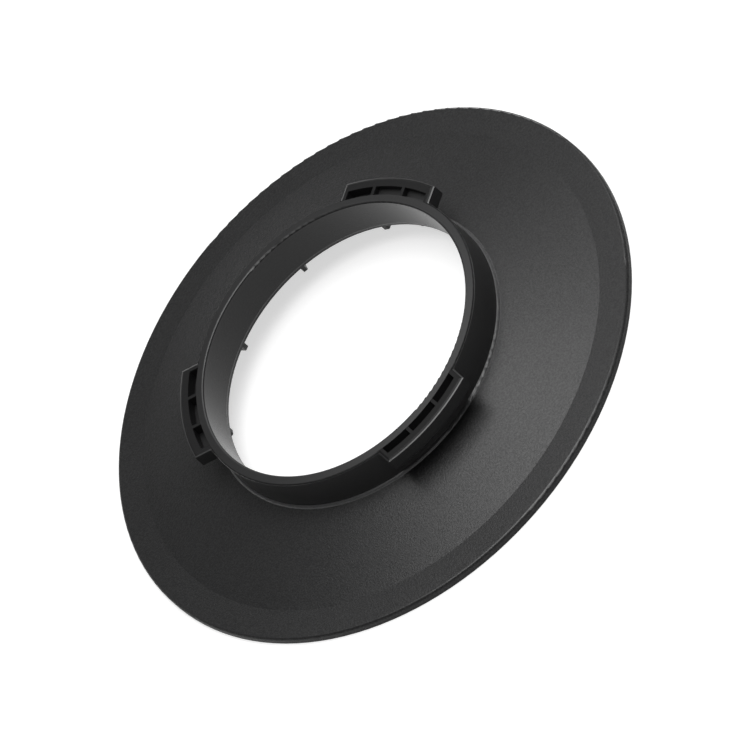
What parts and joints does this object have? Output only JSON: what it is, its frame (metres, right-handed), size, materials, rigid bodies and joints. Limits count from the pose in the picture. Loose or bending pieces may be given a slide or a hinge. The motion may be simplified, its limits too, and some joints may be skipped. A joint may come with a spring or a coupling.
{
  "type": "studio light bayonet flange ring",
  "caption": "Shallow black conical flange ring with an open bore and a short collar whose cored bayonet lugs lock it into a studio light.",
  "frame": {"origin": "centre of the plane that the rim lip rests on", "axes": "+Z along the bore towards the mount side; one lug points along -Y, the other two stand at 30 and 150 degrees from +X"},
  "size_m": [0.245, 0.245, 0.0319],
  "materials": {
    "dish_plastic": "fine sand-grained satin black moulding",
    "collar_plastic": "smooth satin black moulding",
    "screw_steel": "black zinc-plated steel"
  },
  "bodies": {
    "root": {"dish_shell": "dish_plastic", "bayonet_collar": "collar_plastic", "collar_screws": "screw_steel"}
  },
  "joints": []
}
